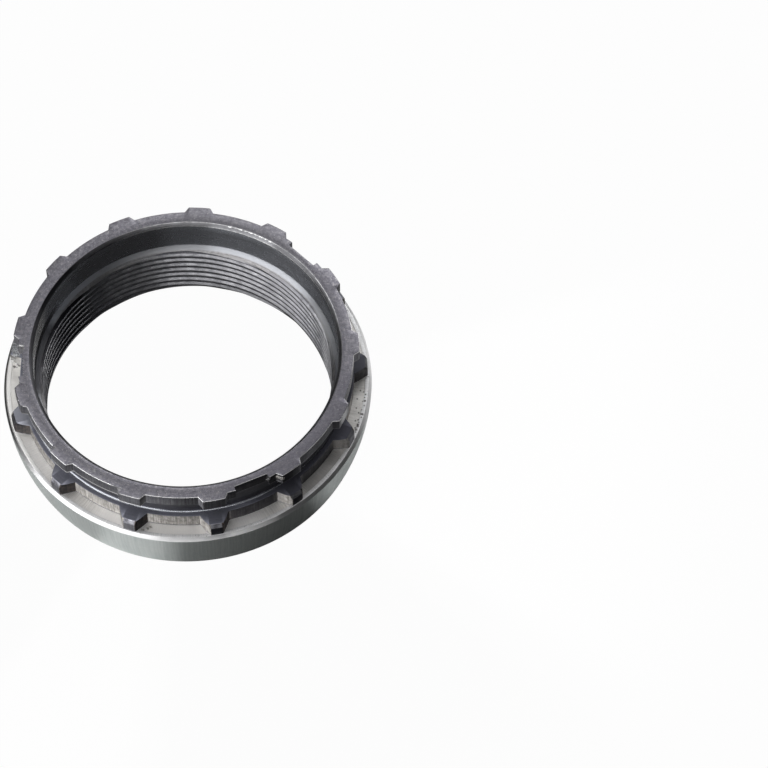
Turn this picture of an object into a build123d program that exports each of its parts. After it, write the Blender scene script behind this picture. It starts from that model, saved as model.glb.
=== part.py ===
from build123d import *
import os
from math import radians, tan

# Lock ring: one turned and milled piece of steel, in millimetres.
# It stands on the back face of its flange at z = 0, with its axis on Z and its lugs upward.
# From the bottom up it has a flange with a rounded, tapered side, a lower tier of long lugs,
# a groove with a rounded lower corner, and an upper tier of short lugs with three tool slots.

# Heights, from the bottom up
flange_height = 6.95
lower_tier_height = 1.92
groove_width = 2.46
upper_tier_height = 1.67

# Bore: thread, mouth, and the counterbore that comes down from the top
thread_radius = 16.46
mouth_relief = 0.59
mouth_relief_depth = 0.52
mouth_chamfer = 0.3
counterbore_step = 0.81
counterbore_depth = 4.17
top_chamfer = 0.36

# Wall, from the counterbore out to the lugs
groove_wall = 1.03
groove_depth = 0.70
groove_corner_radius = 0.2

# Lugs, the same number and places on both tiers
lug_count = 13
first_lug_angle = 3.75
lug_root_width = 3.2
lug_flank_angle = 30.0
lug_corner_radius = 0.12
lug_seat_depth = 0.2
lower_lug_height = 1.55
lower_tip_bevel_width = 0.30
lower_tip_bevel_drop = 0.57
upper_lug_height = 0.66

# Tool slots, each in the middle of one gap of the upper tier
slot_gaps = (1, 6, 10)
slot_width = 4.0
slot_floor_step = 0.08

# Flange
flange_overhang = 0.45
foot_inset = 1.16
belly_inset = 0.21
belly_height = 4.03
rim_bevel = 0.37
land_width = 0.40
milled_floor_depth = 0.05

# Heights that follow
milled_floor = flange_height - milled_floor_depth
lower_top = flange_height + lower_tier_height
groove_top = lower_top + groove_width
ring_height = groove_top + upper_tier_height
counterbore_floor = ring_height - counterbore_depth
facet_foot = lower_top - lower_tip_bevel_drop

# Radii that follow, from the thread outward
mouth_radius = thread_radius + mouth_relief
counterbore_radius = thread_radius + counterbore_step
groove_radius = counterbore_radius + groove_wall
slot_floor_radius = groove_radius + slot_floor_step
lug_root_radius = groove_radius + groove_depth
lug_seat_radius = lug_root_radius - lug_seat_depth
upper_tip_radius = lug_root_radius + upper_lug_height
lower_tip_radius = lug_root_radius + lower_lug_height
flange_radius = lower_tip_radius + flange_overhang
land_radius = flange_radius - rim_bevel - land_width

# Lug pattern
lug_pitch = 360 / lug_count
lug_seat_width = lug_root_width + 2 * lug_seat_depth * tan(radians(lug_flank_angle))


def lug_outline(tip_radius):
    """One tier of lugs from above: tapered flanks, round tips and eased corners."""
    with BuildSketch() as outline:
        with PolarLocations(lug_seat_radius, lug_count, start_angle=first_lug_angle):
            Trapezoid(
                lug_seat_width,
                tip_radius - lug_seat_radius + lug_seat_depth,
                90 - lug_flank_angle,
                rotation=-90,
                align=(Align.CENTER, Align.MIN),
            )
        Circle(tip_radius, mode=Mode.INTERSECT)
        tips = outline.vertices().filter_by(lambda v: Vector(v.X, v.Y).length > tip_radius - 0.001)
        fillet(tips, lug_corner_radius)
    return outline.sketch


with BuildPart() as lock_ring:
    # The turned section, from the mouth of the bore outward, up, and back down the bore
    with BuildSketch(Plane.XZ) as section:
        with BuildLine():
            foot = (flange_radius - foot_inset, 0)
            belly = (flange_radius - belly_inset, belly_height)
            rim = (flange_radius, flange_height - rim_bevel)
            mouth = (mouth_radius + mouth_chamfer, 0)
            Line(mouth, foot)
            ThreePointArc(foot, belly, rim)
            Polyline(
                rim,
                (flange_radius - rim_bevel, flange_height),
                (land_radius, flange_height),
                (land_radius, milled_floor),
                (lug_root_radius, milled_floor),
                (lug_root_radius, lower_top),
                (groove_radius, lower_top),
                (groove_radius, groove_top),
                (lug_root_radius, groove_top),
                (lug_root_radius, ring_height),
                (counterbore_radius + top_chamfer, ring_height),
                (counterbore_radius, ring_height - top_chamfer),
                (counterbore_radius, counterbore_floor),
                (thread_radius, counterbore_floor - counterbore_step),
                (thread_radius, mouth_relief_depth + mouth_relief),
                (mouth_radius, mouth_relief_depth),
                (mouth_radius, mouth_chamfer),
                mouth,
            )
        make_face()
        groove_corners = section.vertices().filter_by(lambda v: abs(v.X - groove_radius) < 0.001)
        fillet(groove_corners.sort_by(Axis.Y)[0], groove_corner_radius)
    revolve(axis=Axis.Z)

    # Long lugs on the flange, and short lugs above the groove
    with BuildSketch(Plane.XY.offset(milled_floor)):
        add(lug_outline(lower_tip_radius))
    extrude(amount=lower_top - milled_floor)
    with BuildSketch(Plane.XY.offset(groove_top)):
        add(lug_outline(upper_tip_radius))
    extrude(amount=upper_tier_height)

    # Sloped facet across the top of each long lug's tip
    with BuildSketch(Plane.XZ):
        with BuildLine():
            Polyline(
                (lower_tip_radius - lower_tip_bevel_width, lower_top),
                (lower_tip_radius, facet_foot),
                (flange_radius, facet_foot),
                (flange_radius, lower_top),
                close=True,
            )
        make_face()
    revolve(axis=Axis.Z, mode=Mode.SUBTRACT)

    # Flat-bottomed tool slots, cut through the upper tier down to the groove
    slot_reach = upper_tip_radius - slot_floor_radius
    with BuildSketch(Plane.XY.offset(groove_top)):
        for gap in slot_gaps:
            slot_angle = first_lug_angle + (gap + 0.5) * lug_pitch
            with PolarLocations(slot_floor_radius, 1, start_angle=slot_angle):
                Rectangle(slot_reach, slot_width, align=(Align.MIN, Align.CENTER))
    extrude(amount=upper_tier_height, mode=Mode.SUBTRACT)

lock_ring.part.label = "lock_ring"

os.makedirs("parts", exist_ok=True)
export_step(lock_ring.part, "parts/lock_ring.step")
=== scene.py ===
from math import atan2, cos, degrees, hypot, pi, radians, sin, sqrt, tan

import bmesh
import bpy
import numpy as np
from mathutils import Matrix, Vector


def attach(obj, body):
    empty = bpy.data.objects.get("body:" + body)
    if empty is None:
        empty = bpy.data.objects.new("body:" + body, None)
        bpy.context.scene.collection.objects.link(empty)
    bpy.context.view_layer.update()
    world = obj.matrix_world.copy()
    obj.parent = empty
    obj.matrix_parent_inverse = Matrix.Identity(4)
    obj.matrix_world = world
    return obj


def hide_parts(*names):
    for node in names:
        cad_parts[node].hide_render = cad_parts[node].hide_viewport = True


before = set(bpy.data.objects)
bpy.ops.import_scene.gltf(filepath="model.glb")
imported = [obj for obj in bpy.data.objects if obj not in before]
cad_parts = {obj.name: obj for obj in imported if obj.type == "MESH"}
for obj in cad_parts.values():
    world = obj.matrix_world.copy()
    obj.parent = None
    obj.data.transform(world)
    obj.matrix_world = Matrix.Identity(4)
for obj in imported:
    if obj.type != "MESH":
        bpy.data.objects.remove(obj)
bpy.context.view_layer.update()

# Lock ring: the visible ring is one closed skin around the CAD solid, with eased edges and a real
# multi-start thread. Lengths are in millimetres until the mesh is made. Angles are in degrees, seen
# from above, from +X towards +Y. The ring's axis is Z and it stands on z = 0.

MM = 0.001

# Heights
FLANGE_TOP = 6.95
MILLED_FLOOR = 6.90
LOWER_TOP = 8.87
GROOVE_TOP = 11.33
RING_TOP = 13.0

# Flange and groove
FOOT_RADIUS = 19.84
BELLY_RADIUS = 20.79
BELLY_HEIGHT = 4.03
FLANGE_RADIUS = 21.0
RIM_BEVEL = 0.37
RIM_HEIGHT = FLANGE_TOP - RIM_BEVEL
RIM_INNER = FLANGE_RADIUS - RIM_BEVEL
LAND_RADIUS = 20.23
GROOVE_RADIUS = 18.3
GROOVE_CORNER = 0.2

# Lugs, the same number and places on both tiers
LUG_COUNT = 13
LUG_PITCH = 360 / LUG_COUNT
FIRST_LUG = 3.75
ROOT_RADIUS = 19.0
ROOT_HALF_WIDTH = 1.6
FLANK_ANGLE = radians(30)
TIP_CORNER = 0.12
ROOT_CORNER = 0.15
LOWER_TIP = 20.55
UPPER_TIP = 19.66
FACET_WIDTH = 0.30
FACET_DROP = 0.57
FACET_FOOT = LOWER_TOP - FACET_DROP

# Tool slots, each in the middle of one gap of the upper tier, with steep end walls
SLOT_GAPS = (1, 6, 10)
SLOT_FLOOR = 18.38
SLOT_HALF_ANGLE = 6.12
SLOT_WALL_ANGLE = 0.02

# Bore and thread, whose grooves pass the +X side at the phase, counted up from the back face
THREAD_CREST = 16.46
THREAD_DEPTH = 0.54
THREAD_PITCH = 1.0
THREAD_STARTS = 6
THREAD_PHASE = 0.43
THREAD_LOW = 0.50
THREAD_HIGH = 8.3
MOUTH_RADIUS = 17.05
MOUTH_DEPTH = 0.52
MOUTH_CHAMFER = 0.3
COUNTERBORE = 17.27
COUNTERBORE_FLOOR = 8.83
LEDGE_FOOT = COUNTERBORE_FLOOR - (COUNTERBORE - THREAD_CREST)
TOP_CHAMFER = 0.36
CHAMFER_FOOT = RING_TOP - TOP_CHAMFER
CHAMFER_OUTER = COUNTERBORE + TOP_CHAMFER

# The thread's section: share of the pitch from the groove's middle, depth, and zone of the band below
THREAD_SECTION = (
    (0.80, THREAD_DEPTH / 2, "thread"),
    (0.66, 0.02, "thread_crest"),
    (0.63, 0.0, "thread_crest"),
    (0.37, 0.0, "thread_crest"),
    (0.34, 0.02, "thread_root"),
    (0.06, THREAD_DEPTH, "thread_root"),
    (-0.06, THREAD_DEPTH, "thread_root"),
)

# Sizes of the eased edges. The middle row of an edge lies at these shares of its size.
FOOT_EDGE = 0.06
RIM_EDGE = 0.045
SLATE_EDGE = 0.05
SLATE_SETBACK = 0.02
GROOVE_EDGE = 0.05
TOP_EDGE = 0.055
LIP_EDGE = 0.04
LIP_DROP = 0.03
CHAMFER_EDGE = 0.05
LEDGE_EDGE = 0.04
EASE = 0.3
BEVEL_EASE = 0.4

# Rows between the edges, which part the zones and keep the faces short
BACK_MIDDLE = 18.6
RIM_MIDDLE = 0.6 * RIM_BEVEL
STEP_WIDTH = 0.03
FLOOR_MIDDLE = ROOT_RADIUS + 0.6
WALL_FOOT = 0.12
WALL_MIDDLE = 7.6
SLATE_MIDDLE = GROOVE_RADIUS + 0.45
TOP_MIDDLE = 18.1
COUNTERBORE_MIDDLE = 11.4
COUNTERBORE_LOW = 10.1
SIDE_ROWS = 11
FACET_ROWS = 5
CORNER_ROWS = 6

# Columns on a lug and in a gap, as angles from the lug's centre line, and the least step between two
LUG_COLUMNS = (0.0, 0.9, 4.2)
GAP_COLUMNS = np.linspace(5.6, LUG_PITCH / 2, 9)
LEAST_STEP = 0.015

# Points nearer than this are one, and edges that bend more than this stay sharp
MERGE_DISTANCE = 0.0015
SHARP_ANGLE = radians(32)

# Margins within which a point counts as lying on a surface
LUG_MARGIN = 0.01
LEDGE_MARGIN = 0.005
CONE_MARGIN = 0.001

# The struck lug: angles with the share of each kind of damage there, and how far its points move
BATTERED_FLANK = ((171.0, 173.6, 181.0), (0.0, 1.0, 0.0))
FLANK_TURN = 0.25
FLANK_WAVE = (5.0, 3.1)
BENT_TIP = ((168.5, 171.5, 173.5, 177.0), (0.0, 0.7, 1.0, 0.0))
BEND_TURN = 2.0
BEND_START = 19.1
BEND_REACH = 1.1
BEND_FADE = 1.5
SPREAD_TIP = ((166.5, 168.5, 174.5, 176.0), (0.0, 1.0, 1.0, 0.0))
SPREAD_PUSH = 0.1
SPREAD_START = 20.0
SPREAD_REACH = 0.25


def towards(angle):
    """Unit vector in the plane, for an angle in radians."""
    return np.array([cos(angle), sin(angle)])


def corner_centre(radius, shift):
    """Where a lug's flank, moved outward by shift, crosses the circle of this radius."""
    low, high = 0.0, radians(LUG_PITCH / 2)
    for _ in range(50):
        angle = (low + high) / 2
        x, y = radius * towards(angle)
        flank = ROOT_HALF_WIDTH + shift / cos(FLANK_ANGLE) - (x - ROOT_RADIUS) * tan(FLANK_ANGLE)
        low, high = (angle, high) if y < flank else (low, angle)
    return radius * towards(low)


def lug_half_outline(tip, inset):
    """Angle and radius along half a lug and half a gap, for one tier, moved inward by inset."""
    tip_centre = corner_centre(tip - TIP_CORNER, -TIP_CORNER)
    root_centre = corner_centre(ROOT_RADIUS + ROOT_CORNER, ROOT_CORNER)
    tip_angle = atan2(tip_centre[1], tip_centre[0])
    root_angle = atan2(root_centre[1], root_centre[0])
    flank_normal = pi / 2 - FLANK_ANGLE
    points = [(tip - inset) * towards(a) for a in np.linspace(0, tip_angle, 4)[:3]]
    for a in np.linspace(tip_angle, flank_normal, 5):
        points.append(tip_centre + (TIP_CORNER - inset) * towards(a))
    for a in np.linspace(flank_normal, root_angle, 5):
        points.append(root_centre - (ROOT_CORNER + inset) * towards(a))
    points.append((ROOT_RADIUS - inset) * towards(radians(LUG_PITCH / 2)))
    angles = [degrees(atan2(y, x)) for x, y in points]
    return np.array(angles), np.array([hypot(x, y) for x, y in points])


def from_lug(theta):
    """Angle away from the nearest lug's centre line."""
    turn = (theta - FIRST_LUG) % LUG_PITCH
    return np.minimum(turn, LUG_PITCH - turn)


def slot_centres():
    """Angles of the middles of the tool slots."""
    return [FIRST_LUG + (gap + 0.5) * LUG_PITCH for gap in SLOT_GAPS]


def outline(theta, tip, inset, slotted=False):
    """Radius of a tier's outer wall at each angle, moved inward by inset."""
    angles, radii = lug_half_outline(tip, inset)
    radius = np.interp(from_lug(theta), angles, radii)
    if slotted:
        for centre in slot_centres():
            away = np.abs((theta - centre + 180) % 360 - 180)
            floor = (SLOT_FLOOR - inset) / np.cos(np.radians(np.minimum(away, SLOT_HALF_ANGLE)))
            radius = np.where(away < SLOT_HALF_ANGLE, floor, radius)
    return radius


def columns():
    """The angles at which the ring's section is cut, closer together where an outline turns."""
    half = {float(a) for a in (*LUG_COLUMNS, *GAP_COLUMNS)}
    for tip in (LOWER_TIP, UPPER_TIP):
        half.update(float(a) for a in lug_half_outline(tip, 0.0)[0])
    turn = set()
    for lug in range(LUG_COUNT):
        for angle in half:
            for side in (-1, 1):
                turn.add(round((FIRST_LUG + lug * LUG_PITCH + side * angle) % 360, 4))
    for centre in slot_centres():
        for side in (-1, 1):
            for away in (-SLOT_WALL_ANGLE, SLOT_WALL_ANGLE):
                turn.add(round((centre + side * (SLOT_HALF_ANGLE + away)) % 360, 4))
    kept = []
    for angle in sorted(turn):
        if not kept or angle - kept[-1] > LEAST_STEP:
            kept.append(angle)
    return np.array(kept + [kept[0] + 360])


def side_radius(z):
    """Radius of the flange's rounded side: a circle through its foot, belly and rim."""
    ax, az, bx, bz, cx, cz = FOOT_RADIUS, 0.0, BELLY_RADIUS, BELLY_HEIGHT, FLANGE_RADIUS, RIM_HEIGHT
    d = 2 * (ax * (bz - cz) + bx * (cz - az) + cx * (az - bz))
    ux = ((ax**2 + az**2) * (bz - cz) + (bx**2 + bz**2) * (cz - az) + (cx**2 + cz**2) * (az - bz)) / d
    uz = ((ax**2 + az**2) * (cx - bx) + (bx**2 + bz**2) * (ax - cx) + (cx**2 + cz**2) * (bx - ax)) / d
    return ux + sqrt(hypot(ax - ux, az - uz) ** 2 - (z - uz) ** 2)


def bore_radius(height):
    """Radius of the unthreaded bore: the mouth's cone, the crest radius or the ledge's cone."""
    mouth = MOUTH_RADIUS - (height - MOUTH_DEPTH)
    ledge = THREAD_CREST + (height - LEDGE_FOOT)
    return np.maximum(THREAD_CREST, np.maximum(mouth, ledge))


def thread_depth(turns):
    """Depth of the thread at a height counted in pitches from a groove's middle."""
    shares = [share for share, _, _ in THREAD_SECTION][::-1]
    depths = [depth for _, depth, _ in THREAD_SECTION][::-1]
    start = shares[-1] - 1
    return np.interp((turns - start) % 1 + start, [start] + shares, [depths[-1]] + depths)


# The rows of the skin are (radius, height, zone), and the zone names the band up to the next row.


def flange_rows():
    """Back face, rounded side, rim and the outer edge of the land."""
    rows = [
        (MOUTH_RADIUS + MOUTH_CHAMFER, 0.0, "back"),
        (BACK_MIDDLE, 0.0, "back"),
        (FOOT_RADIUS - FOOT_EDGE, 0.0, "side"),
    ]
    for z in np.linspace(FOOT_EDGE, RIM_HEIGHT - RIM_EDGE, SIDE_ROWS):
        rows.append((side_radius(z), z, "side"))
    return rows + [
        (FLANGE_RADIUS - EASE * RIM_EDGE, RIM_HEIGHT + BEVEL_EASE * RIM_EDGE, "rim"),
        (FLANGE_RADIUS - RIM_EDGE, RIM_HEIGHT + RIM_EDGE, "rim"),
        (FLANGE_RADIUS - RIM_MIDDLE, RIM_HEIGHT + RIM_MIDDLE, "rim_top"),
        (RIM_INNER + RIM_EDGE, FLANGE_TOP - RIM_EDGE, "rim_top"),
        (RIM_INNER + BEVEL_EASE * RIM_EDGE, FLANGE_TOP - EASE * RIM_EDGE, "land"),
        (RIM_INNER - RIM_EDGE, FLANGE_TOP, "land"),
    ]


def lower_tier_rows(theta):
    """Milled floor, lower wall with the sloped facet on its lugs, and the tier's top."""
    foot = outline(theta, LOWER_TIP, 0.0)
    floor = np.where(foot > LAND_RADIUS, FLANGE_TOP, MILLED_FLOOR)

    def faced(height, inset):
        facet = LOWER_TIP - FACET_WIDTH * (height - FACET_FOOT) / FACET_DROP
        return np.minimum(outline(theta, LOWER_TIP, inset), facet)

    rows = [
        (np.maximum(LAND_RADIUS, foot), FLANGE_TOP, "step"),
        (np.maximum(LAND_RADIUS - STEP_WIDTH, foot), floor, "floor"),
        (np.maximum(FLOOR_MIDDLE, foot), floor, "floor"),
        (foot, floor, "foot"),
        (foot, MILLED_FLOOR + WALL_FOOT, "wall_low"),
        (foot, WALL_MIDDLE, "wall_low"),
    ]
    for z in np.linspace(FACET_FOOT, LOWER_TOP - SLATE_EDGE, FACET_ROWS):
        rows.append((faced(z, 0.0), z, "facet"))
    return rows + [
        (faced(LOWER_TOP, EASE * SLATE_EDGE), LOWER_TOP - EASE * SLATE_EDGE, "slate"),
        (faced(LOWER_TOP, SLATE_EDGE) - SLATE_SETBACK, LOWER_TOP, "slate"),
        (SLATE_MIDDLE, LOWER_TOP, "slate"),
    ]


def groove_rows():
    """Groove with a rounded lower corner."""
    rows = []
    for turn in np.linspace(0, 90, CORNER_ROWS):
        radius = GROOVE_RADIUS + GROOVE_CORNER * (1 - sin(radians(turn)))
        height = LOWER_TOP + GROOVE_CORNER * (1 - cos(radians(turn)))
        rows.append((radius, height, "groove_corner" if turn < 90 else "groove"))
    return rows + [
        (GROOVE_RADIUS, GROOVE_TOP - GROOVE_EDGE, "groove"),
        (GROOVE_RADIUS + GROOVE_EDGE, GROOVE_TOP, "groove"),
    ]


def upper_tier_rows(theta):
    """Upper wall with its lugs and tool slots, and the top face."""
    wall = outline(theta, UPPER_TIP, 0.0, slotted=True)
    eased = outline(theta, UPPER_TIP, EASE * TOP_EDGE, slotted=True)
    inner = outline(theta, UPPER_TIP, TOP_EDGE, slotted=True)
    return [
        (inner, GROOVE_TOP, "hem"),
        (wall, GROOVE_TOP + TOP_EDGE, "hem"),
        (wall, GROOVE_TOP + TOP_EDGE + WALL_FOOT, "wall_up"),
        (wall, (GROOVE_TOP + RING_TOP) / 2, "wall_up"),
        (wall, RING_TOP - TOP_EDGE, "top_edge"),
        (eased, RING_TOP - EASE * TOP_EDGE, "top_edge"),
        (inner, RING_TOP, "top"),
        (TOP_MIDDLE, RING_TOP, "top"),
    ]


def counterbore_rows():
    """Top chamfer, counterbore and the ledge down to the thread."""
    return [
        (CHAMFER_OUTER + LIP_EDGE, RING_TOP, "chamfer_edge"),
        (CHAMFER_OUTER - LIP_DROP, RING_TOP - LIP_DROP, "chamfer"),
        (COUNTERBORE + CHAMFER_EDGE, CHAMFER_FOOT + CHAMFER_EDGE, "chamfer_edge"),
        (COUNTERBORE, CHAMFER_FOOT - CHAMFER_EDGE, "counterbore"),
        (COUNTERBORE, COUNTERBORE_MIDDLE, "counterbore"),
        (COUNTERBORE, COUNTERBORE_LOW, "counterbore_foot"),
        (COUNTERBORE, COUNTERBORE_FLOOR + LEDGE_EDGE, "ledge"),
        (COUNTERBORE - LEDGE_EDGE, COUNTERBORE_FLOOR - LEDGE_EDGE, "ledge"),
        (bore_radius(THREAD_HIGH), THREAD_HIGH, "thread"),
    ]


def thread_rows(theta):
    """Thread, whose rows follow the helix and stop level at the ledge and in the mouth, and the mouth."""
    groove_middle = THREAD_PHASE + THREAD_PITCH * THREAD_STARTS * theta / 360
    end_depth = thread_depth((THREAD_HIGH - groove_middle) / THREAD_PITCH)
    rows = []
    for turn in np.arange(-THREAD_STARTS - 1, THREAD_HIGH / THREAD_PITCH + 1)[::-1]:
        for share, depth, zone in THREAD_SECTION:
            height = groove_middle + (turn + share) * THREAD_PITCH
            depth = np.where(height > THREAD_HIGH, end_depth, depth)
            height = np.clip(height, THREAD_LOW, THREAD_HIGH)
            rows.append((np.maximum(bore_radius(height), THREAD_CREST + depth), height, zone))
    return rows + [
        (MOUTH_RADIUS, THREAD_LOW, "mouth"),
        (MOUTH_RADIUS, MOUTH_CHAMFER, "mouth"),
    ]


def struck(theta, radius, height):
    """Turn and push of the struck lug's points: its tip is spread outward and over its uneven flank."""
    low = np.clip((LOWER_TOP - height) / (LOWER_TOP - MILLED_FLOOR), 0, 1)
    wave = np.sin(FLANK_WAVE[0] * height + FLANK_WAVE[1] * radius) * low * (1 - low)
    turn = FLANK_TURN * np.interp(theta, *BATTERED_FLANK) * (low + wave)
    outer = np.clip((radius - BEND_START) / BEND_REACH, 0, 1)
    turn = turn + BEND_TURN * np.interp(theta, *BENT_TIP) * outer * (1 - low) ** BEND_FADE
    push = SPREAD_PUSH * np.interp(theta, *SPREAD_TIP)
    push = push * np.clip((radius - SPREAD_START) / SPREAD_REACH, 0, 1)
    push = push * np.clip((height - FACET_FOOT) / FACET_DROP, 0, 1)
    on_lug = (radius > ROOT_RADIUS - LUG_MARGIN) & (radius < LOWER_TIP + LUG_MARGIN)
    on_lug = on_lug & (height < LOWER_TOP + LUG_MARGIN)
    return np.where(on_lug, turn, 0.0), np.where(on_lug, push, 0.0)


def face_zones(zones, theta, radius, height):
    """The zone of each face. Lug tips, each lug's second flank and the ledge part from their rows' zones."""
    middle = (theta[:-1] + theta[1:]) / 2
    away = from_lug(middle)
    tip_half, root_half = lug_half_outline(LOWER_TIP, 0.0)[0][[3, -4]]
    on_tip = away < tip_half
    on_second_half = (middle - FIRST_LUG) % LUG_PITCH < LUG_PITCH / 2
    # Each lug's second flank gets the zone flank, whose near-black tones are painted shade on that side
    on_shaded_flank = ~on_tip & (away < root_half) & on_second_half
    over_foot = height > LEDGE_FOOT + LEDGE_MARGIN
    over_cone = over_foot & (radius < bore_radius(height) + CONE_MARGIN)
    names = np.repeat(np.array(zones, dtype=object)[:, None], len(middle), axis=1)
    for i, zone in enumerate(zones):
        if zone in ("wall_low", "foot"):
            names[i, on_tip] = "lug_tip"
        if zone in ("wall_low", "facet"):
            names[i, ~on_tip] = "wall_low"
            names[i, on_shaded_flank] = "flank"
        if zone in ("thread", "thread_crest", "thread_root"):
            over = (over_cone if zone == "thread_root" else over_foot)[i:i + 2]
            names[i, (over[:, :-1] & over[:, 1:]).all(axis=0)] = "ledge"
    return names


def ring_mesh():
    """One closed mesh from the section rows, with a material for each zone, and the zones' names."""
    theta = columns()
    rows = flange_rows() + lower_tier_rows(theta) + groove_rows() + upper_tier_rows(theta)
    rows += counterbore_rows() + thread_rows(theta)
    radius = np.array([np.broadcast_to(r, theta.shape) for r, _, _ in rows])
    height = np.array([np.broadcast_to(h, theta.shape) for _, h, _ in rows])
    names = face_zones([zone for _, _, zone in rows], theta, radius, height)
    turn, push = struck(theta, radius, height)
    angle = np.radians(theta + turn)
    radius = radius + push
    points = np.stack([radius * np.cos(angle), radius * np.sin(angle), height], axis=-1) * MM
    index = np.arange(radius.size).reshape(radius.shape)
    below = np.roll(index, -1, axis=0)
    faces = np.stack([index[:, :-1], index[:, 1:], below[:, 1:], below[:, :-1]], axis=-1)
    mesh = bpy.data.meshes.new("lock_ring_skin")
    mesh.from_pydata(points.reshape(-1, 3).tolist(), [], faces.reshape(-1, 4).tolist())
    order = sorted(set(names.flat))
    mesh.polygons.foreach_set("material_index", [order.index(name) for name in names.flat])

    shape = bmesh.new()
    shape.from_mesh(mesh)
    bmesh.ops.remove_doubles(shape, verts=shape.verts, dist=MERGE_DISTANCE * MM)
    bmesh.ops.recalc_face_normals(shape, faces=shape.faces)
    for edge in shape.edges:
        edge.smooth = len(edge.link_faces) == 2 and edge.calc_face_angle(0.0) < SHARP_ANGLE
    for face in shape.faces:
        face.smooth = True
    shape.to_mesh(mesh)
    shape.free()
    return mesh, order


class Nodes:
    """The nodes of a material or a world. Their inputs take numbers or other nodes' outputs."""

    def __init__(self, owner):
        self.tree = owner.node_tree

    def node(self, kind, **settings):
        made = self.tree.nodes.new(kind)
        for key, value in settings.items():
            setattr(made, key, value)
        return made

    def feed(self, socket, value):
        if isinstance(value, bpy.types.NodeSocket):
            self.tree.links.new(value, socket)
        else:
            socket.default_value = value

    def number(self, operation, first, second, clamp=False):
        made = self.node("ShaderNodeMath", operation=operation, use_clamp=clamp)
        self.feed(made.inputs[0], first)
        self.feed(made.inputs[1], second)
        return made.outputs[0]

    def seen_directly(self, direct, reflected):
        """A share for light paths: one level for the camera's own view, one for reflections and glass."""
        path = self.node("ShaderNodeLightPath")
        mirrored = self.number("MAXIMUM", path.outputs["Is Glossy Ray"], path.outputs["Is Transmission Ray"])
        seen = self.number("MULTIPLY", path.outputs["Is Camera Ray"], direct)
        return self.number("MAXIMUM", seen, self.number("MULTIPLY", mirrored, reflected))


class Finish(Nodes):
    """The nodes of one procedural material. Places are in millimetres, in the object's own frame."""

    def __init__(self, name):
        self.material = bpy.data.materials.new(name)
        self.material.use_nodes = True
        super().__init__(self.material)
        self.shader = self.tree.nodes["Principled BSDF"]
        coordinates = self.node("ShaderNodeTexCoord")
        self.place = self.vector("SCALE", coordinates.outputs["Object"], scale=1 / MM)
        flat = self.vector("MULTIPLY", self.place, (1, 1, 0))
        self.outward = self.vector("NORMALIZE", flat)
        self.from_axis = self.vector("LENGTH", flat, output="Value")
        self.height = self.vector("DOT_PRODUCT", self.place, (0, 0, 1), output="Value")

    def vector(self, operation, first, second=None, scale=None, output="Vector"):
        made = self.node("ShaderNodeVectorMath", operation=operation)
        self.feed(made.inputs[0], first)
        if second is not None:
            self.feed(made.inputs[1], second)
        if scale is not None:
            self.feed(made.inputs["Scale"], scale)
        return made.outputs[output]

    def noise(self, place, detail):
        made = self.node("ShaderNodeTexNoise")
        self.feed(made.inputs["Vector"], place)
        made.inputs["Scale"].default_value = 1.0
        made.inputs["Detail"].default_value = detail
        return made.outputs[0]

    def cloud(self, size, detail=3.0):
        """Noise with patches of about this size."""
        return self.noise(self.vector("SCALE", self.place, scale=1 / size), detail)

    def streaks(self, way, width, length):
        """Noise drawn out across the ring (up a wall, along a radius) or around it."""
        turned, lifted = (width, length) if way == "across" else (length, width)
        around = self.vector("SCALE", self.outward, scale=GROOVE_RADIUS / turned)
        along = self.number("ADD", self.from_axis, self.height)
        along = self.vector("SCALE", (0, 0, 1 / lifted), scale=along)
        return self.noise(self.vector("ADD", around, along), 3.0)

    def swing(self, noise, amount):
        """Noise that swings about zero by up to this amount."""
        return self.number("MULTIPLY", self.number("SUBTRACT", noise, 0.5), amount * 2)

    def threshold(self, value, low, high):
        """A share that goes smoothly from 0 at low to 1 at high."""
        made = self.node("ShaderNodeMapRange", interpolation_type="SMOOTHSTEP", clamp=True)
        self.feed(made.inputs["Value"], value)
        made.inputs["From Min"].default_value = low
        made.inputs["From Max"].default_value = high
        return made.outputs[0]

    def patches(self, places, size):
        """Ragged patches around places given as (radius, angle, height)."""
        nearest = None
        for radius, angle, height in places:
            point = (radius * cos(radians(angle)), radius * sin(radians(angle)), height)
            away = self.vector("DISTANCE", self.place, point, output="Value")
            nearest = away if nearest is None else self.number("MINIMUM", nearest, away)
        ragged = self.number("ADD", nearest, self.swing(self.cloud(size * 0.5), size * 1.1))
        return self.threshold(ragged, size, size * 0.55)

    def nearness(self, angle):
        """Cosine of the angle, seen from above, between a place and this direction from the axis."""
        way = (cos(radians(angle)), sin(radians(angle)), 0)
        return self.vector("DOT_PRODUCT", self.outward, way, output="Value")

    def arc(self, angle, half_angle):
        """A stretch of the ring around an angle. Its ends are ragged, and fade more in a longer stretch."""
        ragged = self.swing(self.cloud(0.5), 0.03 * sin(radians(half_angle)))
        near = self.number("ADD", self.nearness(angle), ragged)
        fade = max(1.5, min(5.0, half_angle / 4))
        return self.threshold(near, cos(radians(half_angle + fade)), cos(radians(half_angle - fade)))

    def blend(self, share, first, second):
        made = self.node("ShaderNodeMix", data_type="RGBA")
        self.feed(made.inputs["Factor"], share)
        self.feed(made.inputs["A"], first)
        self.feed(made.inputs["B"], second)
        return made.outputs["Result"]

    def tint(self, share, colour, tone):
        """A colour with this share of another tone laid over it."""
        return self.blend(share, colour, (*tone, 1))

    def ramp(self, level, tones):
        """A colour that runs through three tones as the level goes from 0 to 1."""
        made = self.node("ShaderNodeValToRGB")
        made.color_ramp.elements[0].color = (*tones[0], 1)
        made.color_ramp.elements[1].color = (*tones[2], 1)
        made.color_ramp.elements.new(0.5).color = (*tones[1], 1)
        self.feed(made.inputs[0], level)
        return made.outputs["Color"]


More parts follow.
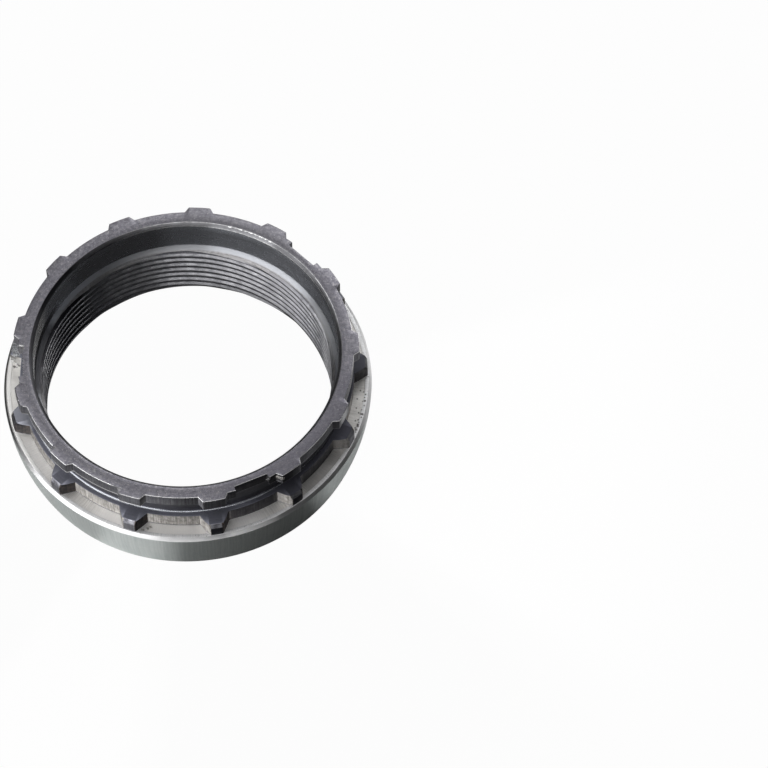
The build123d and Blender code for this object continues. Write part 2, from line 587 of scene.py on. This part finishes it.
# What all steel surfaces share: sizes of their small textures, and half the height over which the
# tone above or below a level fades in
FINE_SIZE = 0.14
SPECK_SIZE = 0.22
BROKEN_SIZE = 0.16
DENT_SIZE = 0.3
OVER_FADE = 0.05
UNDER_FADE = 1.3
BROKEN_SHADE = 0.35
ROUGH_SPREAD = 0.12


def steel(name, tones, rough, way="across", width=0.12, length=4.0, grain=0.5, mottle=0.4, blotch=1.1,
          speck=0.0, speck_tone=(0.6, 0.6, 0.6), relief=0.004, turned=0.9, over=None, under=None,
          arcs=(), marks=()):
    """A worked steel surface: three tones mixed by tool marks and mottling.

    The tool marks run across the ring or around it. They have this width, length and strength (grain).
    Mottle is the strength of the mottling and blotch the size of its patches. Speck says how many specks
    there are. Relief is the height of the marks. Turned is the strength of the fine lathe lines, which
    draw reflections out across them. Over and under are a height, and the tone above or below it.
    Arcs are stretches of the ring, nearly all of them painted light or shade: angle, half angle, tone and
    share.
    Marks are ragged patches: places, size, tone, share and depth of their dents.
    """
    f = Finish(name)
    streaks = f.streaks(way, width, length)
    fine = f.cloud(FINE_SIZE, 2.0)
    level = f.number("ADD", f.swing(streaks, grain), 0.5)
    level = f.number("ADD", level, f.swing(f.cloud(blotch, 4.0), mottle))
    level = f.number("ADD", level, f.swing(fine, mottle * 0.6), clamp=True)
    colour = f.ramp(level, tones)
    if over:
        height, tone = over
        colour = f.tint(f.threshold(f.height, height - OVER_FADE, height + OVER_FADE), colour, tone)
    if under:
        height, tone = under
        colour = f.tint(f.threshold(f.height, height + UNDER_FADE, height - UNDER_FADE), colour, tone)
    if speck:
        share = f.threshold(f.cloud(SPECK_SIZE, 1.0), 0.74 - 0.1 * speck, 0.8 - 0.1 * speck)
        colour = f.tint(share, colour, speck_tone)
    # Nearly all arcs lay painted light or shade over the colour
    for angle, half_angle, tone, share in arcs:
        colour = f.tint(f.number("MULTIPLY", f.arc(angle, half_angle), share), colour, tone)
    rise = f.number("ADD", f.swing(streaks, 0.5), f.swing(fine, 0.3))
    for places, size, tone, share, dents in marks:
        patch = f.patches(places, size)
        dark = (*[c * BROKEN_SHADE for c in tone], 1)
        broken = f.tint(f.threshold(f.cloud(BROKEN_SIZE, 2.0), 0.4, 0.6), dark, tone)
        colour = f.blend(f.number("MULTIPLY", patch, share), colour, broken)
        rise = f.number("ADD", rise, f.number("MULTIPLY", patch, f.swing(f.cloud(DENT_SIZE, 2.0), dents)))
    f.feed(f.shader.inputs["Base Color"], colour)
    f.shader.inputs["Metallic"].default_value = 1.0
    if turned:
        tangent = f.node("ShaderNodeTangent", direction_type="RADIAL", axis="Z")
        f.feed(f.shader.inputs["Tangent"], tangent.outputs[0])
        f.shader.inputs["Anisotropic"].default_value = turned
        f.shader.inputs["Anisotropic Rotation"].default_value = 0.25
    smoother = f.number("MULTIPLY", level, ROUGH_SPREAD)
    f.feed(f.shader.inputs["Roughness"], f.number("SUBTRACT", rough + ROUGH_SPREAD / 2, smoother))
    bump = f.node("ShaderNodeBump")
    bump.inputs["Distance"].default_value = relief * MM
    f.feed(bump.inputs["Height"], rise)
    f.feed(f.shader.inputs["Normal"], bump.outputs[0])
    return f.material


def grey(level, blue=0.0):
    """A grey tone, with this much more blue."""
    return (level, level, level + blue)


# Tones of each kind of surface: dark, middle, light
BLOOM = ((0.135, 0.13, 0.152), (0.225, 0.22, 0.25), (0.36, 0.35, 0.365))
# BLOOM_WALL: the top's bloom in darker tones, painted shade on the upper walls, lug tips and hem
BLOOM_WALL = ((0.065, 0.065, 0.073), (0.135, 0.135, 0.148), (0.24, 0.24, 0.252))
SLATE = ((0.14, 0.146, 0.175), (0.21, 0.215, 0.257), (0.29, 0.295, 0.335))
BARE = ((0.52, 0.51, 0.495), (0.745, 0.73, 0.71), (0.95, 0.94, 0.92))
# Near-black tones of each lug's second flank: painted shade, a shaded copy of the lower wall's TAN
SHADED_FLANK = ((0.03, 0.03, 0.035), (0.06, 0.055, 0.055), (0.13, 0.105, 0.09))
TAN = ((0.12, 0.112, 0.104), (0.28, 0.268, 0.256), (0.5, 0.485, 0.46))
BRIGHT = ((0.5, 0.5, 0.505), (0.72, 0.72, 0.73), (0.95, 0.95, 0.955))
WORN = ((0.36, 0.36, 0.365), (0.52, 0.52, 0.525), (0.72, 0.72, 0.73))
EDGE = ((0.24, 0.24, 0.245), (0.4, 0.4, 0.405), (0.6, 0.6, 0.605))
SIDE = ((0.38, 0.41, 0.405), (0.5, 0.53, 0.52), (0.62, 0.64, 0.63))
SCALE = ((0.1, 0.1, 0.115), (0.29, 0.29, 0.32), (0.53, 0.53, 0.57))
BLUED = ((0.2, 0.21, 0.235), (0.31, 0.32, 0.35), (0.44, 0.45, 0.485))
# DARK: painted shade, along the lower wall's foot, in the groove and in the thread's roots
DARK = ((0.05, 0.05, 0.055), (0.09, 0.09, 0.10), (0.14, 0.14, 0.15))
CHAMFER = ((0.1, 0.1, 0.105), (0.15, 0.15, 0.158), (0.22, 0.22, 0.23))
BORE = ((0.31, 0.32, 0.345), (0.435, 0.45, 0.49), (0.55, 0.56, 0.59))
THREAD = ((0.13, 0.13, 0.14), (0.235, 0.235, 0.25), (0.36, 0.36, 0.375))
LEDGE = ((0.16, 0.155, 0.155), (0.25, 0.245, 0.25), (0.38, 0.375, 0.375))

# Tones that several stretches and marks share: painted shade, painted glints and painted highlights
SHADED = grey(0.05, 0.005)
GLINT = grey(0.95)
WARM_HIGHLIGHT = (1.0, 0.99, 0.97)
PALE_HIGHLIGHT = (1.0, 0.99, 0.98)

# Struck and dirty places of the lower tier and the flange: (radius, angle, height)
STRUCK_LUG = [(20.1, 171.8, LOWER_TOP), (19.74, 174.0, LOWER_TOP), (20.3, 169.6, LOWER_TOP),
              (19.7, 170.2, LOWER_TOP), (19.4, 172.2, LOWER_TOP)]
STRUCK_FLANK = [(19.9, 174.3, 8.2), (19.5, 175.4, 7.8), (20.1, 174.0, 7.4), (19.4, 176.0, 7.2)]
# The struck tip's marks dent it and colour it in painted shade
STRUCK_TIP = [(20.5, 171.5, 8.4), (20.5, 170.0, 8.4), (20.5, 168.3, 8.4), (20.5, 172.6, 7.6),
              (20.5, 170.5, 7.4)]
# Along the spread edge the marks paint a line of shade
SPREAD_EDGE_SHADE = [(20.5, 167.6 + 0.8 * k, 8.85) for k in range(8)]
STRUCK_FLOOR = [(20.21, 172.8, 6.92), (19.88, 173.4, MILLED_FLOOR), (19.74, 174.8, MILLED_FLOOR)]
SCRAPED_FLOOR = [(19.94, 172.8, MILLED_FLOOR), (19.64, 173.5, MILLED_FLOOR),
                 (19.97, 174.8, MILLED_FLOOR), (19.43, 174.1, MILLED_FLOOR),
                 (20.3, 172.3, MILLED_FLOOR)]
DIRTY_CORNER = [(19.6, 259.3, MILLED_FLOOR), (19.8, 258.5, MILLED_FLOOR), (20.15, 257.0, MILLED_FLOOR)]
RUST = [(19.3, 258.1, 7.9), (19.4, 258.0, 8.2)]
PITS = [(20.30 + 0.14 * sin(2.3 * k), 338.5 + 1.3 * k + 0.5 * sin(7 * k), MILLED_FLOOR) for k in range(14)]
PITS += [(19.76, 355.9, MILLED_FLOOR), (19.6, 349.0, MILLED_FLOOR), (19.9, 344.2, MILLED_FLOOR),
         (19.5, 352.6, MILLED_FLOOR), (20.0, 347.4, MILLED_FLOOR)]
SCABS = [(20.32, 341.0, MILLED_FLOOR), (20.36, 342.3, MILLED_FLOOR), (20.30, 343.0, MILLED_FLOOR),
         (20.42, 347.0, MILLED_FLOOR), (20.40, 352.0, MILLED_FLOOR)]

# Worn places of the upper tier and the chamfer, and spots of painted highlight and painted shade on their
# edges
# A painted highlight along a slot's end edge on the top
SLOT_DASH_HIGHLIGHT = [(18.35, 177.5, RING_TOP), (18.5, 177.5, RING_TOP), (18.65, 177.45, RING_TOP),
             (18.8, 177.4, RING_TOP)]
SLOT_EDGE_GLINT = [(18.95, 300.65, 12.8), (18.85, 300.65, 12.5), (18.65, 300.65, 12.2),
             (18.55, 300.65, 11.8), (18.7, 300.65, 12.95)]
WORN_FLANK = [(19.16, 303.5, 12.3), (19.5, 304.8, 12.3)]
TOP_NICKS = [(19.0, 221.3, RING_TOP), (19.05, 248.9, RING_TOP), (18.4, 178.5, RING_TOP),
             (18.3, 238.0, RING_TOP)]
# Spots of painted shade on the top edge, from 184 to 200
SHADED_EDGE_SPOTS = [(19.5, angle, 12.95) for angle in range(184, 202, 2)]
CHAMFER_NICKS = [(17.6 + 0.03 * sin(5 * k), 58 + 1.05 * k + 0.6 * sin(11 * k), 12.97) for k in range(18)]

# Marks that the land and the floor share
SCRAPES = [(SCRAPED_FLOOR, 0.22, (0.16, 0.16, 0.15), 0.85, 5.0),
           (STRUCK_FLOOR, 0.2, (1.0, 1.0, 0.97), 1.0, 14.0)]
PIT_TONE = (0.10, 0.09, 0.085)
SCAB_MARK = (SCABS, 0.2, (0.12, 0.11, 0.10), 0.9, 3.0)

# What zones of one kind share
RIM = dict(tones=WORN, rough=0.34, turned=0.6, way="around", width=0.08, length=9.0, grain=0.3, mottle=0.2)
MILLED = dict(width=0.14, length=3.0, grain=0.7, mottle=0.6, blotch=0.5, relief=0.006)
BORED = dict(tones=BORE, rough=0.26, way="around", width=0.3, length=14.0, grain=0.3, mottle=0.3)
# The thread darkens towards the back face, below about 1.6 mm
THREADED = dict(tones=THREAD, rough=0.31, way="around", width=0.3, length=0.6, grain=0.4, mottle=0.6,
                over=(LEDGE_FOOT, LEDGE[1]), under=(1.6, grey(0.09, 0.005)))

FLANGE = {
    "back": dict(tones=BARE, rough=0.34, way="around", width=0.10, length=20.0),
    "side": dict(tones=SIDE, rough=0.40, width=0.22, length=9.0, grain=0.6, mottle=0.35, blotch=2.5,
                 relief=0.002),
    # Rim bevel: painted shade on its outer part and a painted highlight on its inner part at 180, and a
    # painted glint at 292
    "rim": dict(**RIM, arcs=[(180, 23, grey(0.10), 0.9), (292, 8, GLINT, 0.8)]),
    "rim_top": dict(**RIM, arcs=[(180, 23, WARM_HIGHLIGHT, 0.9), (292, 8, GLINT, 0.8)]),
    # Land: a painted highlight at 187; its scrapes, pits and scabs are its own
    "land": dict(tones=BRIGHT, turned=0.0, rough=0.48, width=0.10, grain=0.4, mottle=0.3,
                 speck=0.3, speck_tone=grey(0.1),
                 arcs=[(187, 28, WARM_HIGHLIGHT, 0.85)],
                 marks=[*SCRAPES, (PITS, 0.13, PIT_TONE, 0.9, 3.0), SCAB_MARK]),
    "step": dict(tones=BARE, rough=0.40, turned=0.0, width=0.12),
    # Milled floor: painted highlights at 186, 212 and 268, painted shade at 322; scrapes, dirt, pits and
    # scabs are its own
    "floor": dict(tones=BARE, turned=0.0, rough=0.50, width=0.12, length=3.0, grain=0.6, mottle=0.35,
                  arcs=[(186, 20, (1.0, 0.985, 0.955), 0.6), (212, 8, PALE_HIGHLIGHT, 0.5),
                        (268, 28, PALE_HIGHLIGHT, 0.75), (322, 9, (0.3, 0.29, 0.285), 0.6)],
                  marks=[*SCRAPES, (DIRTY_CORNER, 0.22, (0.4, 0.38, 0.32), 0.7, 4.0),
                         (PITS, 0.12, PIT_TONE, 0.9, 3.0), SCAB_MARK]),
}

LOWER_TIER = {
    # Foot of the lower wall: dark tones, painted shade in the corner
    "foot": dict(tones=DARK, rough=0.5),
    # Lower wall: painted shade at 294.5, 322.2, 332.3 and 357.5
    "wall_low": dict(tones=TAN, rough=0.56, **MILLED,
                     arcs=[(294.5, 8.7, grey(0.04, 0.01), 0.85), (322.2, 8.7, grey(0.04, 0.01), 0.8),
                           (332.3, 1.5, (0.14, 0.135, 0.13), 0.6), (357.5, 7, grey(0.04, 0.005), 0.85)]),
    # Second flanks: painted shade. The stretch at 174.5 lightens the struck lug's flank; its dents and rust
    # are its own
    "flank": dict(tones=SHADED_FLANK, rough=0.5, **MILLED,
                  arcs=[(174.5, 4, (0.36, 0.355, 0.345), 0.85)],
                  marks=[(STRUCK_FLANK, 0.3, (0.6, 0.6, 0.58), 0.9, 9.0),
                         (RUST, 0.25, (0.3, 0.1, 0.05), 0.8, 3.0)]),
    # Facets: painted shade at 183, 309, 333 and 3.75, and on the struck tip's dents
    "facet": dict(tones=SCALE, turned=0.0, rough=0.45, way="around", width=0.2, length=0.6, grain=0.9,
                  mottle=0.7,
                  arcs=[(183, 18, grey(0.03, 0.002), 0.85), (309, 4, grey(0.09, 0.005), 0.7),
                        (333, 9, grey(0.055, 0.005), 0.85), (3.75, 6, grey(0.06, 0.005), 0.8)],
                  marks=[(STRUCK_TIP, 0.5, SHADED, 0.9, 6.0)]),
    # Lug tips: painted shade at 187 and 296, and on the struck tip's dents
    "lug_tip": dict(tones=BLOOM_WALL, rough=0.40, width=0.14, length=3.0,
                    arcs=[(187, 16, grey(0.02, 0.002), 0.85), (296, 26, grey(0.02, 0.005), 0.85)],
                    marks=[(STRUCK_TIP, 0.6, SHADED, 0.9, 6.0)]),
    # Lower tier's top: painted light at 197.5, painted shade at 318 and 356 and along the spread edge; the
    # struck marks are its own
    "slate": dict(tones=SLATE, turned=0.0, rough=0.52, way="around", width=0.2, length=3.0, grain=0.25,
                  mottle=0.35,
                  arcs=[(197.5, 6, (0.38, 0.39, 0.44), 0.8), (318, 24, grey(0.06, 0.015), 0.8),
                        (356, 16, grey(0.05, 0.01), 0.8)],
                  marks=[(STRUCK_LUG, 0.6, (0.42, 0.43, 0.44), 0.9, 9.0),
                         (SPREAD_EDGE_SHADE, 0.17, grey(0.03, 0.002), 0.95, 4.0)]),
    "groove_corner": dict(tones=BLUED, rough=0.26, way="around", width=0.1, length=12.0, grain=0.3,
                          mottle=0.2),
    # Groove: dark tones, painted shade under the upper tier
    "groove": dict(tones=DARK, rough=0.35, way="around", width=0.15, length=9.0),
}

UPPER_TIER = {
    # Hem: a painted highlight at 230
    "hem": dict(tones=BLOOM_WALL, rough=0.36, width=0.2, length=2.0, arcs=[(230, 27, grey(0.9), 0.85)]),
    # Upper wall: painted shade at 309, a painted highlight at 336.1, painted glints on a slot's end; the
    # flank spots are worn
    "wall_up": dict(tones=BLOOM_WALL, rough=0.36, width=0.13, length=4.0, grain=0.7, mottle=0.4,
                    relief=0.006,
                    arcs=[(309, 24, grey(0.022, 0.004), 0.85), (336.1, 1.6, grey(0.5, 0.01), 0.8)],
                    marks=[(WORN_FLANK, 0.36, (0.62, 0.6, 0.57), 0.9, 5.0),
                           (SLOT_EDGE_GLINT, 0.2, GLINT, 0.9, 3.0)]),
    # Top edge: bright tones, with painted shade over the far side, in several stretches and at spots from
    # 184 to 200
    "top_edge": dict(tones=BRIGHT, rough=0.28, width=0.3, length=1.0, grain=0.8, mottle=0.5,
                     arcs=[(90, 76, grey(0.04, 0.005), 0.85), (248.2, 1.2, grey(0.1), 0.9),
                           (170, 6, grey(0.24), 0.8), (208, 8, grey(0.4), 0.75),
                           (343, 7.5, grey(0.25), 0.85), (313, 3, grey(0.4), 0.7)],
                     marks=[(SHADED_EDGE_SPOTS, 0.7, SHADED, 1.0, 2.0)]),
    # Top face: painted shade at 70 and 318, a painted highlight along a slot's edge; the nicks are worn
    "top": dict(tones=BLOOM, rough=0.42, turned=0.0, way="around", width=0.2, length=0.9, grain=0.35,
                mottle=0.7, blotch=0.42, speck=0.9, speck_tone=(0.40, 0.39, 0.40),
                arcs=[(70, 25, grey(0.17, 0.01), 0.3), (318, 34, (0.14, 0.135, 0.16), 0.4)],
                marks=[(TOP_NICKS, 0.22, grey(0.5), 0.7, 4.0), (SLOT_DASH_HIGHLIGHT, 0.11, grey(1.0), 0.9, 3.0)]),
}

INNER_SIDE = {
    # Chamfer's edge: painted shade over the near side around 213 and at 46; the nicks are its own
    "chamfer_edge": dict(tones=EDGE, rough=0.34, width=0.25, length=1.0, grain=0.9, mottle=0.6,
                         arcs=[(213, 95, SHADED, 0.92), (46, 9, grey(0.12, 0.005), 0.6)],
                         marks=[(CHAMFER_NICKS, 0.13, grey(0.85), 0.8, 4.0)]),
    # Chamfer: painted shade at 180 and 47
    "chamfer": dict(tones=CHAMFER, rough=0.34, way="around", width=0.08, length=12.0,
                    arcs=[(180, 42, grey(0.03, 0.003), 0.9), (47, 9, grey(0.07, 0.005), 0.65)],
                    marks=[(CHAMFER_NICKS, 0.11, grey(0.85), 0.8, 4.0)]),
    # Counterbore: painted shade at 121, a painted highlight at 175 on its upper part, painted shade at 172
    # on its foot
    "counterbore": dict(**BORED, arcs=[(121, 20, grey(0.17, 0.01), 0.7), (175, 14, grey(1.0), 0.9)]),
    "counterbore_foot": dict(**BORED, arcs=[(121, 20, grey(0.17, 0.01), 0.7), (172, 18, SHADED, 0.9)]),
    # Ledge: painted light at 18, painted shade at 174, and a stretch at 97 laid over with a mid grey
    "ledge": dict(tones=LEDGE, rough=0.38, way="around", width=0.06, length=3.0, grain=0.8, mottle=0.5,
                  blotch=0.3, over=(8.39, (0.37, 0.38, 0.405)),
                  arcs=[(97, 14, grey(0.3, 0.01), 0.4), (18, 12, (0.5, 0.51, 0.53), 0.5),
                        (174, 16, SHADED, 0.9)]),
    # Thread: painted shade at 158 and 47, painted light at 6; crests with a painted highlight at 157
    "thread": dict(**THREADED,
                   arcs=[(158, 22, grey(0.015, 0.003), 0.95), (47, 13, grey(0.13, 0.01), 0.6),
                         (6, 15, grey(0.55, 0.02), 0.7)]),
    "thread_crest": dict(**THREADED,
                         arcs=[(157, 20, grey(0.9, 0.02), 0.9), (6, 15, grey(0.55, 0.02), 0.7)]),
    # Thread roots: dark tones, painted shade in the grooves, darkest at 158
    "thread_root": dict(tones=DARK, turned=0.0, rough=0.5, over=(LEDGE_FOOT, grey(0.17, 0.01)),
                        arcs=[(158, 22, grey(0.01, 0.002), 0.95)]),
    "mouth": dict(tones=BLOOM, rough=0.4, way="around", width=0.1, length=12.0),
}

FINISHES = {**FLANGE, **LOWER_TIER, **UPPER_TIER, **INNER_SIDE}

mesh, zone_names = ring_mesh()
for name in zone_names:
    mesh.materials.append(steel(name, **FINISHES[name]))
ring = bpy.data.objects.new("lock_ring_body", mesh)
bpy.context.scene.collection.objects.link(ring)
weighted = ring.modifiers.new("even_shading", "WEIGHTED_NORMAL")
weighted.keep_sharp = True
weighted.weight = 80
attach(ring, "root")
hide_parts("lock_ring")

# Light levels: the world as a light, and how much of the white floor and world reflections show
WORLD_LEVEL = 0.008
WORLD_SHARE = 0.02
FLOOR_SHARE = 0.02

# Floor: half its width in metres, its drop below the ring, the white that the camera sees, and the
# paper's own grain and tones
FLOOR_REACH = 1.5
FLOOR_DROP = 0.02
FLOOR_WHITE = 0.975
PAPER_GRAIN = 0.8
PAPER_DARK = grey(0.26)
PAPER_LIGHT = grey(0.29)

# Sectors of the paper around the ring, which the flange mirrors, with painted light and painted shadow:
# azimuth, half angle with the full tone, half angle where it has faded, and tone. They fade between two
# distances from the axis.
# Painted light at 352, 194 and 251; painted shadow at 228 and 293
SHADOW_AND_LIGHT_SECTORS = (
    (352, 24, 31, 0.72),
    (194, 8, 16, 0.42),
    (228, 9, 16, 0.06),
    (251, 8, 14, 0.5),
    (293, 23, 28, 0.01),
)
SECTOR_FULL = 45.0
SECTOR_FADED = 75.0

# Dark disc of the paper inside the ring, a painted shadow, which also fades between two distances
DISC_TONE = grey(0.03)
DISC_FULL = 16.0
DISC_FADED = 19.0


def paper():
    """Pale paper that the camera sees nearly white and that keeps the ring's shadow."""
    f = Finish("floor_paper")
    f.shader.inputs["Roughness"].default_value = 0.9
    colour = f.tint(f.cloud(PAPER_GRAIN), (*PAPER_DARK, 1), PAPER_LIGHT)
    beside = f.threshold(f.from_axis, SECTOR_FADED, SECTOR_FULL)
    for azimuth, full, faded, tone in SHADOW_AND_LIGHT_SECTORS:
        share = f.threshold(f.nearness(azimuth), cos(radians(faded)), cos(radians(full)))
        colour = f.tint(f.number("MULTIPLY", share, beside), colour, grey(tone))
    colour = f.tint(f.threshold(f.from_axis, DISC_FADED, DISC_FULL), colour, DISC_TONE)
    f.feed(f.shader.inputs["Base Color"], colour)
    glow = f.node("ShaderNodeEmission")
    mixed = f.node("ShaderNodeMixShader")
    f.feed(mixed.inputs[0], f.seen_directly(FLOOR_WHITE, FLOOR_SHARE))
    f.feed(mixed.inputs[1], f.shader.outputs[0])
    f.feed(mixed.inputs[2], glow.outputs[0])
    f.feed(f.tree.nodes["Material Output"].inputs["Surface"], mixed.outputs[0])
    return f.material


floor_mesh = bpy.data.meshes.new("floor")
corners = [(x * FLOOR_REACH, y * FLOOR_REACH, 0) for x, y in ((-1, -1), (1, -1), (1, 1), (-1, 1))]
floor_mesh.from_pydata(corners, [], [(0, 1, 2, 3)])
floor_mesh.materials.append(paper())
floor = bpy.data.objects.new("floor", floor_mesh)
floor.location.z = -FLOOR_DROP * MM
bpy.context.scene.collection.objects.link(floor)

# World: white where the camera sees it, dimmer as a light
world = bpy.data.worlds.new("studio")
bpy.context.scene.world = world
world.use_nodes = True
sky = Nodes(world)
background = world.node_tree.nodes["Background"]
white = sky.number("MULTIPLY", sky.seen_directly(1.0, WORLD_SHARE), 1 - WORLD_LEVEL)
sky.feed(background.inputs["Strength"], sky.number("ADD", white, WORLD_LEVEL))
background.inputs["Color"].default_value = (1, 1, 1, 1)

# Soft rectangular lights around the ring, at one distance in metres: azimuth, elevation, half width
# and half height as angles, and radiance
PANEL_DISTANCE = 0.6
PANELS = {
    "front_low": (222, 9, 33, 7, 4.7),
    "front_strip": (222, 24, 31, 8, 2.4),
    "left_high": (176, 50, 20, 18, 2.7),
    "front_high": (236, 41, 34, 9, 1.6),
    "front_top": (248, 60, 27, 10, 3.0),
    "back": (75, 41, 24, 9, 2.8),
    "right_low": (46, 9, 13, 7, 2.6),
    "right_strip": (45, 22, 28, 10, 1.7),
    "right_high": (314, 57, 16, 9, 0.4),
    "front_right": (298, 30, 11, 4, 0.65),
    "overhead": (90, 89, 20, 20, 0.6),
}


def panel(name, azimuth, elevation, half_width, half_height, radiance):
    """A rectangular light that faces the ring."""
    data = bpy.data.lights.new(name, "AREA")
    data.shape = "RECTANGLE"
    data.size = 2 * PANEL_DISTANCE * tan(radians(half_width))
    data.size_y = 2 * PANEL_DISTANCE * tan(radians(half_height))
    data.energy = radiance * pi * data.size * data.size_y
    lamp = bpy.data.objects.new(name, data)
    bpy.context.scene.collection.objects.link(lamp)
    turn, rise = radians(azimuth), radians(elevation)
    outward = Vector((cos(turn) * cos(rise), sin(turn) * cos(rise), sin(rise)))
    lamp.location = outward * PANEL_DISTANCE
    lamp.rotation_mode = "QUATERNION"
    lamp.rotation_quaternion = outward.to_track_quat("Z", "Y")
    lamp.visible_camera = False


for name, place in PANELS.items():
    panel(name, *place)

# Camera, at the photograph's viewing angle
LOOK_AT = Vector((22.390, 3.684, 0)) * MM
ELEVATION = radians(58.598)
DISTANCE = 447.8 * MM
camera_data = bpy.data.cameras.new("camera")
camera_data.lens = 180.6
camera_data.sensor_width = 36
camera_data.clip_start = 0.01
camera_data.clip_end = 10
camera = bpy.data.objects.new("camera", camera_data)
bpy.context.scene.collection.objects.link(camera)
back = Vector((0, -cos(ELEVATION), sin(ELEVATION)))
camera.location = LOOK_AT + back * DISTANCE
camera.rotation_mode = "QUATERNION"
camera.rotation_quaternion = (-back).to_track_quat("-Z", "Y")
bpy.context.scene.camera = camera
bpy.context.scene.view_settings.view_transform = "Standard"
